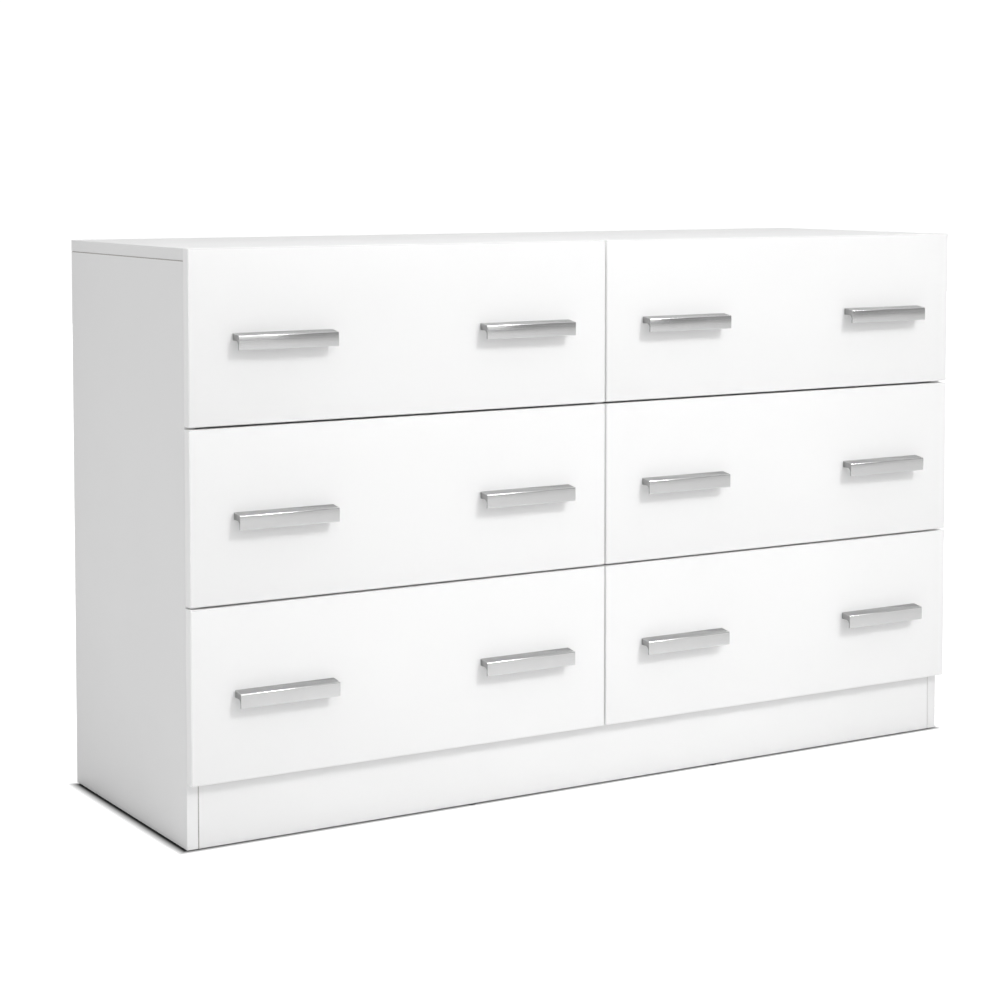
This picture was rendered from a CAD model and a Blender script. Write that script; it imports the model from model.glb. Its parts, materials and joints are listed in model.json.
"""A low white chest of six drawers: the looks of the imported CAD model.

Boards get softened, edge-banded edges, the handles become brushed extrusions, and every node gets
a procedural material. All lengths are in metres, in the frame of the CAD model.
"""

import json
import math

import bmesh
import bpy
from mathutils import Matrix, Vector


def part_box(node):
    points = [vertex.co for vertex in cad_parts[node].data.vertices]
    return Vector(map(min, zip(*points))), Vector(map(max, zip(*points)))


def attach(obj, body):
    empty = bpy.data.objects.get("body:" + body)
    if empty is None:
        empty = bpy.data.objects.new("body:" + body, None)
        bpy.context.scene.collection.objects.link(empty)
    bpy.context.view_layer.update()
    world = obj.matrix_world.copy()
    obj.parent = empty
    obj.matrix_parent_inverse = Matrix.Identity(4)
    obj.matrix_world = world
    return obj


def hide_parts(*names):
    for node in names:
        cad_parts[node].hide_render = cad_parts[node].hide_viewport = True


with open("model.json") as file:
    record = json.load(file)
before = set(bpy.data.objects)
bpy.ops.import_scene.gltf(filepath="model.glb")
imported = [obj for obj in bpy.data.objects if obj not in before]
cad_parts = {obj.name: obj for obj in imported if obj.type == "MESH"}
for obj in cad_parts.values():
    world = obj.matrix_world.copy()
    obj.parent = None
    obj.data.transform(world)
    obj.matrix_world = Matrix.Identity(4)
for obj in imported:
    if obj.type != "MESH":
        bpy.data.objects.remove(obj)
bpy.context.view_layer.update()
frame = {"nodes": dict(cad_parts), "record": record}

MM = 0.001
BODIES = frame["record"]["behaviour"]["bodies"]
SLOT = {s["node"]: s["material_slot"] for s in frame["record"]["subparts"]}
BODY = {node: body for body, nodes in BODIES.items() for node in nodes}

WELD = 0.01 * MM                # corners of the CAD mesh this close are one
ON_FACE = 0.02 * MM             # a corner this close to the box's face lies on it
SHARP = 1                       # edges that turn by more than this are outer ones, in radians


# ---------------------------------------------------------------- materials


class Look:
    """A material: a Principled shader and the nodes that feed it."""

    def __init__(self, name, roughness, **sockets):
        self.material = bpy.data.materials.new(name)
        self.material.use_nodes = True
        self.tree = self.material.node_tree
        self.shader = self.tree.nodes["Principled BSDF"]
        self.shader.inputs["Roughness"].default_value = roughness
        for socket, value in sockets.items():
            self.shader.inputs[socket.replace("_", " ")].default_value = value
        self.place = self.add("ShaderNodeTexCoord")

    def add(self, kind, **settings):
        node = self.tree.nodes.new(kind)
        for name, value in settings.items():
            setattr(node, name, value)
        return node

    def link(self, source, target):
        self.tree.links.new(source, target)

    def split(self, output):
        """The X, Y and Z of one of the texture coordinates."""
        node = self.add("ShaderNodeSeparateXYZ")
        self.link(self.place.outputs[output], node.inputs["Vector"])
        return node.outputs

    def noise(self, per_metre, detail=2.0, stretch=(1, 1, 1)):
        """A noise in the frame's own places, so that it rides with the piece."""
        mapping = self.add("ShaderNodeMapping")
        mapping.inputs["Scale"].default_value = [per_metre * s for s in stretch]
        self.link(self.place.outputs["Object"], mapping.inputs["Vector"])
        noise = self.add("ShaderNodeTexNoise")
        noise.inputs["Scale"].default_value = 1.0
        noise.inputs["Detail"].default_value = detail
        self.link(mapping.outputs["Vector"], noise.inputs["Vector"])
        return noise.outputs["Fac"]

    def between(self, factor, low, high, to=None):
        """A number that runs from low to high as the factor runs through a noise's usual values."""
        ramp = self.add("ShaderNodeMapRange")
        ramp.inputs["From Min"].default_value = 0.3
        ramp.inputs["From Max"].default_value = 0.7
        ramp.inputs["To Min"].default_value = low
        ramp.inputs["To Max"].default_value = high
        self.link(factor, ramp.inputs["Value"])
        if to:
            self.link(ramp.outputs["Result"], self.shader.inputs[to])
        return ramp.outputs["Result"]

    def maths(self, operation, a, b=0.0):
        node = self.add("ShaderNodeMath", operation=operation)
        for socket, value in zip(node.inputs, (a, b)):
            if isinstance(value, (int, float)):
                socket.default_value = value
            else:
                self.link(value, socket)
        return node.outputs["Value"]

    def mix(self, factor, a, b):
        """A colour between a and b. Each is a colour or another mix."""
        node = self.add("ShaderNodeMix", data_type="RGBA")
        self.link(factor, node.inputs["Factor"])
        for socket, value in ((node.inputs[6], a), (node.inputs[7], b)):
            if isinstance(value, tuple):
                socket.default_value = (*value, 1.0)
            else:
                self.link(value, socket)
        return node.outputs[2]

    def colour(self, source):
        self.link(source, self.shader.inputs["Base Color"])

    def bump(self, height, distance, strength=1.0):
        node = self.add("ShaderNodeBump")
        node.inputs["Strength"].default_value = strength
        node.inputs["Distance"].default_value = distance
        self.link(height, node.inputs["Height"])
        self.link(node.outputs["Normal"], self.shader.inputs["Normal"])


def grey(value, warmth=0.0):
    """A near-neutral colour, a little warm for a warmth above 0."""
    return (value * (1 + warmth), value, value * (1 - warmth))


def board_look(name, white, roughness, edge=0.0, band_axis=None, band=0.0, size=None):
    """Melamine: a faint orange peel and slow changes of tone and sheen. With a band_axis, the edges
    have their own white, and a hairline runs around that face where the edge band meets it."""
    look = Look(name, roughness, Specular_IOR_Level=0.5)
    cloud = look.noise(5, 3)
    colour = look.mix(look.between(cloud, 0, 1), grey(white * 0.985), grey(white))
    if band_axis is not None:
        face = look.maths("ABSOLUTE", look.split("Normal")[band_axis])
        facing = look.maths("GREATER_THAN", face, 0.7)
        places = look.split("Generated")
        half_line = 0.12 * MM
        lines = None
        for axis in sorted({0, 1, 2} - {band_axis}):
            across = look.maths("PINGPONG", places[axis], 0.5)
            off = look.maths("ABSOLUTE", look.maths("SUBTRACT", across, band / size[axis]))
            line = look.maths("LESS_THAN", off, half_line / size[axis])
            lines = line if lines is None else look.maths("MAXIMUM", lines, line)
        colour = look.mix(look.maths("MULTIPLY", lines, facing), colour, grey(white * 0.8))
        colour = look.mix(facing, grey(edge), colour)
    look.colour(colour)
    look.between(look.noise(24, 4), roughness * 0.88, roughness * 1.14, "Roughness")
    look.bump(look.noise(1400, 2), 0.00002, 0.5)
    return look.material


def core_look():
    """The core of the boards where a seam bares it: grey-brown chips in the shade of the groove."""
    look = Look("board_core", 0.85)
    chips = look.noise(900, 3)
    look.colour(look.mix(look.between(chips, 0, 1), grey(0.4, 0.04), grey(0.55, 0.03)))
    look.bump(chips, 0.0002, 0.6)
    return look.material


def hardboard_look(name, white):
    """Lacquered hardboard: flatter than melamine, with a faint fibre grain."""
    look = Look(name, 0.5)
    grain = look.noise(500, 5, (1, 1, 0.4))
    look.colour(look.mix(look.between(grain, 0, 1), grey(white * 0.965, 0.004), grey(white, 0.004)))
    look.between(look.noise(60, 3), 0.42, 0.6, "Roughness")
    look.bump(grain, 0.00006, 0.6)
    return look.material


def aluminium_look():
    """Brushed aluminium: long fine streaks along X in tone, sheen and relief. The flat top and the
    sawn ends, which the brush belt doesn't reach, are duller than the face."""
    look = Look("brushed_aluminium", 0.3, Metallic=1.0)
    streaks = look.noise(1, 6, (14, 2600, 2600))
    blotches = look.noise(55, 3)
    tone = look.mix(look.between(streaks, 0, 1), grey(0.76), grey(0.88))
    tone = look.mix(look.between(blotches, 0, 0.5), tone, grey(0.86))
    normal = look.split("Normal")
    top = look.maths("GREATER_THAN", normal["Z"], 0.97)
    end = look.maths("GREATER_THAN", look.maths("ABSOLUTE", normal["X"]), 0.8)
    look.colour(look.mix(look.maths("MAXIMUM", top, end), tone, grey(0.34)))
    look.between(streaks, 0.14, 0.24, "Roughness")
    look.bump(streaks, 0.00003, 0.4)
    return look.material


def zinc_look():
    """Zinc plate: bright steel with a mottled sheen."""
    look = Look("zinc_plate", 0.35, Metallic=1.0)
    spangle = look.noise(300, 4)
    look.colour(look.mix(look.between(spangle, 0, 1), (0.52, 0.53, 0.55), (0.68, 0.68, 0.67)))
    look.between(spangle, 0.26, 0.45, "Roughness")
    look.bump(look.noise(2500, 2), 0.00002, 0.4)
    return look.material


def coat_look():
    """White powder coat on the steel of the runners: an even orange peel."""
    look = Look("powder_coat", 0.38)
    peel = look.noise(700, 2)
    look.colour(look.mix(look.between(look.noise(40, 3), 0, 1), grey(0.74), grey(0.78)))
    look.between(peel, 0.32, 0.46, "Roughness")
    look.bump(peel, 0.00006, 0.6)
    return look.material


def plastic_look(name, tone, roughness, warmth=0.0):
    """Moulded plastic with a fine spark-eroded texture."""
    look = Look(name, roughness)
    cloud = look.between(look.noise(80, 3), 0, 1)
    look.colour(look.mix(cloud, grey(tone * 0.94, warmth), grey(tone, warmth)))
    look.between(look.noise(200, 3), roughness * 0.85, roughness * 1.15, "Roughness")
    look.bump(look.noise(1800, 2), 0.00003, 0.5)
    return look.material


# ---------------------------------------------------------------- pieces


def link_mesh(name, bm, material, smooth_angle=40):
    """A new object of a finished bmesh, smooth except where it turns sharply."""
    mesh = bpy.data.meshes.new(name)
    bm.normal_update()
    for edge in bm.edges:
        if len(edge.link_faces) == 2:
            edge.smooth = edge.calc_face_angle(math.pi) < math.radians(smooth_angle)
    for face in bm.faces:
        face.smooth = True
    bm.to_mesh(mesh)
    bm.free()
    mesh.materials.append(material)
    piece = bpy.data.objects.new(name, mesh)
    bpy.context.scene.collection.objects.link(piece)
    return piece


def stand_for(piece, node):
    """The piece takes the place of a CAD node: its body and its being shown."""
    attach(piece, BODY[node])
    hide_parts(node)


def softened_board(node, material, radius, seams=()):
    """The node's board with its long outer edges rounded, which a fine saw and an edge band leave.
    Edges on a seam, a plane given as (axis, place), show the dark core of the board."""
    low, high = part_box(node)
    bm = bmesh.new()
    bm.from_mesh(frame["nodes"][node].data)
    bmesh.ops.remove_doubles(bm, verts=bm.verts, dist=WELD)
    bmesh.ops.dissolve_limit(bm, angle_limit=math.radians(1), verts=bm.verts, edges=bm.edges)

    def planes(vert):
        """The faces of the board's box that the corner lies on."""
        return {(a, side) for a in range(3) for side, end in ((0, low), (1, high))
                if abs(vert.co[a] - end[a]) < ON_FACE}

    outer = [e for e in bm.edges if len(e.link_faces) == 2 and e.calc_length() > 3 * radius
             and e.calc_face_angle(0) > SHARP and len(planes(e.verts[0]) & planes(e.verts[1])) == 2]
    rounded = bmesh.ops.bevel(bm, geom=outer, offset=radius, offset_type="OFFSET", segments=3,
                              profile=0.5, affect="EDGES", clamp_overlap=False)["faces"]
    for axis, place in seams:
        for face in rounded:
            if abs(face.calc_center_median()[axis] - place) < radius:
                face.material_index = 1
    piece = link_mesh(node + "_board", bm, material)
    piece.data.materials.append(core)
    stand_for(piece, node)
    return piece


def arc(centre, radius, start, end, steps):
    """Points of an arc in a section, from one angle in degrees to another."""
    angles = [math.radians(start + (end - start) * i / steps) for i in range(steps + 1)]
    return [(centre[0] + radius * math.cos(a), centre[1] + radius * math.sin(a)) for a in angles]


FOOT = (4.5 * MM, -4.6 * MM)    # the handle's foot against the front, above and below the screws
LIP = 2.0 * MM                  # thickness of the lip
LIP_BOTTOM = -15.5 * MM         # its lower edge
CROWN = 0.25 * MM               # how far the lip's face bulges
NOSE = 1.0 * MM                 # rounding over the lip
TOP_SLOPE = 7.5                 # fall of the top towards the nose, in degrees
THROAT = 6.0 * MM               # hollow between the foot and the lip
FOOT_TOP = 0.4 * MM             # rounding of the foot's upper edge
FOOT_BOTTOM = 0.8 * MM          # and of its lower edge
BULGE_STEPS = 12                # steps down the lip's face
END = 0.3 * MM                  # broken edges of the sawn ends


def handle_section(out):
    """The handle's outline as (distance from the front, height above the screws)."""
    top, bottom = FOOT
    slope = math.radians(TOP_SLOPE)
    nose_x = out - NOSE
    nose_z = top - (nose_x + NOSE * math.sin(slope)) * math.tan(slope) - NOSE * math.cos(slope)
    edge_z = LIP_BOTTOM + LIP / 2
    face = []
    for i in range(1, BULGE_STEPS):
        t = i / BULGE_STEPS
        face.append((out - CROWN * (2 * t - 1) ** 2, nose_z + (edge_z - nose_z) * t))
    return [
        *arc((FOOT_TOP, top - FOOT_TOP), FOOT_TOP, 180, 90 - TOP_SLOPE, 3),
        *arc((nose_x - CROWN, nose_z), NOSE, 90 - TOP_SLOPE, 0, 10),
        *face,
        *arc((out - CROWN - LIP / 2, edge_z), LIP / 2, 0, -180, 10),
        *arc((out - LIP - THROAT, bottom - THROAT), THROAT, 0, 90, 12),
        *arc((FOOT_BOTTOM, bottom + FOOT_BOTTOM), FOOT_BOTTOM, 270, 180, 4),
    ]


def handle(name, node, low, high, material):
    """A bar handle between two corners: a brushed extrusion with sawn, lightly broken ends."""
    section = handle_section(high.y - low.y)
    screws = low.z - LIP_BOTTOM
    bm = bmesh.new()
    ring = [bm.verts.new((low.x, high.y - out, screws + up)) for out, up in section]
    end = bm.faces.new(ring)
    moved = bmesh.ops.extrude_face_region(bm, geom=[end])["geom"]
    bmesh.ops.translate(bm, verts=[v for v in moved if isinstance(v, bmesh.types.BMVert)],
                        vec=(high.x - low.x, 0, 0))
    bmesh.ops.recalc_face_normals(bm, faces=bm.faces)
    rims = [e for e in bm.edges
            if e.calc_face_angle(0) > SHARP and abs(e.verts[0].co.x - e.verts[1].co.x) < END]
    bmesh.ops.bevel(bm, geom=rims, offset=END, offset_type="OFFSET", segments=2, profile=0.5,
                    affect="EDGES", clamp_overlap=False)
    piece = link_mesh(name, bm, material, 50)
    stand_for(piece, node)


def halves(node):
    """The boxes of a node's two like solids, one on each side of its middle in X."""
    low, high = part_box(node)
    middle = (low.x + high.x) / 2
    points = [v.co for v in frame["nodes"][node].data.vertices]
    found = []
    for side in (-1, 1):
        half = [p for p in points if (p.x - middle) * side > 0]
        found.append((Vector([min(p[a] for p in half) for a in range(3)]),
                      Vector([max(p[a] for p in half) for a in range(3)])))
    return found


def paint(node, material):
    """Gives a CAD node that is shown as it is its material."""
    slots = frame["nodes"][node].data.materials
    slots.clear()
    slots.append(material)


# ---------------------------------------------------------------- the chest

front_size = [b - a for a, b in zip(*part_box("front_left_top"))]
front_white = board_look("front_melamine", 0.9, 0.34, 0.97, 1, 0.9 * MM, front_size)
carcass_white = board_look("carcass_melamine", 0.88, 0.38)
box_white = board_look("box_melamine", 0.84, 0.42)
core = core_look()
brushed = aluminium_look()
LOOKS = {
    "white_hardboard": hardboard_look("white_hardboard", 0.8),
    "zinc_steel": zinc_look(),
    "runner_steel": coat_look(),
    "nylon": plastic_look("nylon", 0.76, 0.42, 0.01),
    "white_plastic": plastic_look("strip_plastic", 0.8, 0.45),
    "glide_plastic": plastic_look("glide_plastic", 0.06, 0.5),
}

side_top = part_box("top_panel")[0].z
plinth_left, plinth_right = (corner.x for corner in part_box("plinth_front"))
SEAMS = {
    "side_panel_left": [(2, side_top)],
    "side_panel_right": [(2, side_top)],
    "plinth_front": [(0, plinth_left), (0, plinth_right)],
    "plinth_rear": [(0, plinth_left), (0, plinth_right)],
}

for node in sorted(frame["nodes"]):
    if node.startswith("front_left") or node.startswith("front_right"):
        softened_board(node, front_white, 0.5 * MM)
    elif node.startswith("box_"):
        softened_board(node, box_white, 0.6 * MM)
    elif node.startswith("handles_"):
        for side, (low, high) in zip(("left", "right"), halves(node)):
            handle(f"{node}_{side}", node, low, high, brushed)
    elif SLOT[node] == "white_board":
        seams = SEAMS.get(node, ())
        softened_board(node, carcass_white, (1.1 if seams else 0.8) * MM, seams)
    else:
        paint(node, LOOKS[SLOT[node]])


# ---------------------------------------------------------------- floor, lights, camera


def floor(low, high, recess, reach=9.0, shade=16 * MM, inset=(0, 7 * MM), glow=0.7):
    """A pale floor, which the camera sees as white except in the shade under the chest. The shade
    runs out over a few millimetres, starts further in under the front than under the sides, and
    leaves out the open recess under the back, given by its half width and its front. The glow
    lifts the rest to white for the camera alone, so that it lights nothing."""
    bm = bmesh.new()
    bmesh.ops.create_grid(bm, x_segments=1, y_segments=1, size=reach)
    look = Look("pale_floor", 0.9, Specular_IOR_Level=0.0)
    place = look.split("Object")
    outside = None
    for axis in (0, 1):
        middle, half = (high[axis] + low[axis]) / 2, (high[axis] - low[axis]) / 2
        away = look.maths("ABSOLUTE", look.maths("SUBTRACT", place[axis], middle))
        beyond = look.maths("DIVIDE", look.maths("SUBTRACT", away, half - inset[axis]), shade)
        outside = beyond if outside is None else look.maths("MAXIMUM", outside, beyond)
    half_width, front = recess
    from_side = look.maths("SUBTRACT", half_width, look.maths("ABSOLUTE", place["X"]))
    from_front = look.maths("SUBTRACT", place["Y"], front)
    within = look.maths("DIVIDE", look.maths("MINIMUM", from_side, from_front), shade)
    outside = look.maths("MAXIMUM", outside, within)
    outside = look.maths("MINIMUM", look.maths("MAXIMUM", outside, 0), 1)
    pale = look.mix(look.noise(3, 2), grey(0.74), grey(0.76))
    look.colour(look.mix(outside, grey(0.05), pale))
    seen = look.add("ShaderNodeLightPath").outputs["Is Camera Ray"]
    shine = look.maths("MULTIPLY", look.maths("MULTIPLY", outside, seen), glow)
    look.link(shine, look.shader.inputs["Emission Strength"])
    look.shader.inputs["Emission Color"].default_value = (1, 1, 1, 1)
    link_mesh("floor", bm, look.material)


def area_light(name, place, target, size, watts, spread):
    """A rectangular lamp aimed at a point. Its spread, in degrees, narrows the beam."""
    data = bpy.data.lights.new(name, "AREA")
    data.shape = "RECTANGLE"
    data.size, data.size_y = size
    data.energy = watts
    data.spread = math.radians(spread)
    lamp = bpy.data.objects.new(name, data)
    lamp.location = place
    lamp.rotation_euler = (Vector(target) - Vector(place)).to_track_quat("-Z", "Y").to_euler()
    bpy.context.scene.collection.objects.link(lamp)


def sky(horizon=0.56, rise=0.7, room=0.38, room_rise=0.16, panel=2.4, panel_rim=(0.74, 0.95),
        backdrop=1.05):
    """A soft studio surround that brightens overhead. The camera sees it as white, and shiny
    surfaces see a dim room in front, a lighter one behind and a bright panel over the front.
    The panel fades in over its rim, given as two nearnesses to the direction halfway between up
    and the front."""
    world = bpy.data.worlds.new("studio")
    bpy.context.scene.world = world
    world.use_nodes = True
    nodes, links = world.node_tree.nodes, world.node_tree.links

    def maths(operation, *values):
        node = nodes.new("ShaderNodeMath")
        node.operation = operation
        for socket, value in zip(node.inputs, values):
            if isinstance(value, (int, float)):
                socket.default_value = value
            else:
                links.new(value, socket)
        return node.outputs["Value"]

    def choose(flag, chosen, other):
        """The chosen value where the flag is 1 and the other where it is 0."""
        return maths("MULTIPLY_ADD", flag, maths("SUBTRACT", chosen, other), other)

    split = nodes.new("ShaderNodeSeparateXYZ")
    links.new(nodes.new("ShaderNodeTexCoord").outputs["Generated"], split.inputs["Vector"])
    up = maths("MAXIMUM", split.outputs["Z"], 0.0)
    soft = maths("MULTIPLY_ADD", maths("MULTIPLY", up, up), rise, horizon)
    around = maths("MULTIPLY_ADD", split.outputs["Y"], room_rise, room)
    over_front = maths("MULTIPLY", maths("SUBTRACT", split.outputs["Z"], split.outputs["Y"]), 0.7)
    over = nodes.new("ShaderNodeMapRange")
    over.interpolation_type = "SMOOTHSTEP"
    over.inputs["From Min"].default_value = panel_rim[0]
    over.inputs["From Max"].default_value = panel_rim[1]
    links.new(over_front, over.inputs["Value"])
    mirrored = choose(over.outputs["Result"], panel, around)
    rays = nodes.new("ShaderNodeLightPath")
    strength = choose(rays.outputs["Is Glossy Ray"], mirrored, soft)
    strength = choose(rays.outputs["Is Camera Ray"], backdrop, strength)
    nodes["Background"].inputs["Color"].default_value = (1, 1, 1, 1)
    links.new(strength, nodes["Background"].inputs["Strength"])


EYE = (-1.7069, -2.7267, 0.8310)
TILT_DOWN = 3.277               # degrees below level
HEADING = -31.235               # degrees from looking along Y
LAMPS_AWAY = 6
TO_KEY = Vector((0.240, -0.739, 0.629))
TO_FILL = Vector((0.0, -0.966, 0.259))


def camera():
    """Nearly level, from the left and a little above, with the lens shifted down."""
    data = bpy.data.cameras.new("camera")
    data.sensor_width = 36
    data.lens = 83.063
    data.shift_y = -0.2
    eye = bpy.data.objects.new("camera", data)
    eye.location = EYE
    eye.rotation_euler = (math.radians(90 - TILT_DOWN), 0, math.radians(HEADING))
    bpy.context.scene.collection.objects.link(eye)
    bpy.context.scene.camera = eye


low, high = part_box("side_panel_left")[0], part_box("side_panel_right")[1]
centre = (low + high) / 2
floor(low, high, (plinth_right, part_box("plinth_rear")[1].y))
sky()
area_light("key", centre + LAMPS_AWAY * TO_KEY, centre, (1.5, 1.5), 4.05, 27)
area_light("fill", centre + LAMPS_AWAY * TO_FILL, centre, (3.6, 2.4), 28, 180)
camera()
bpy.context.scene.view_settings.view_transform = "Standard"
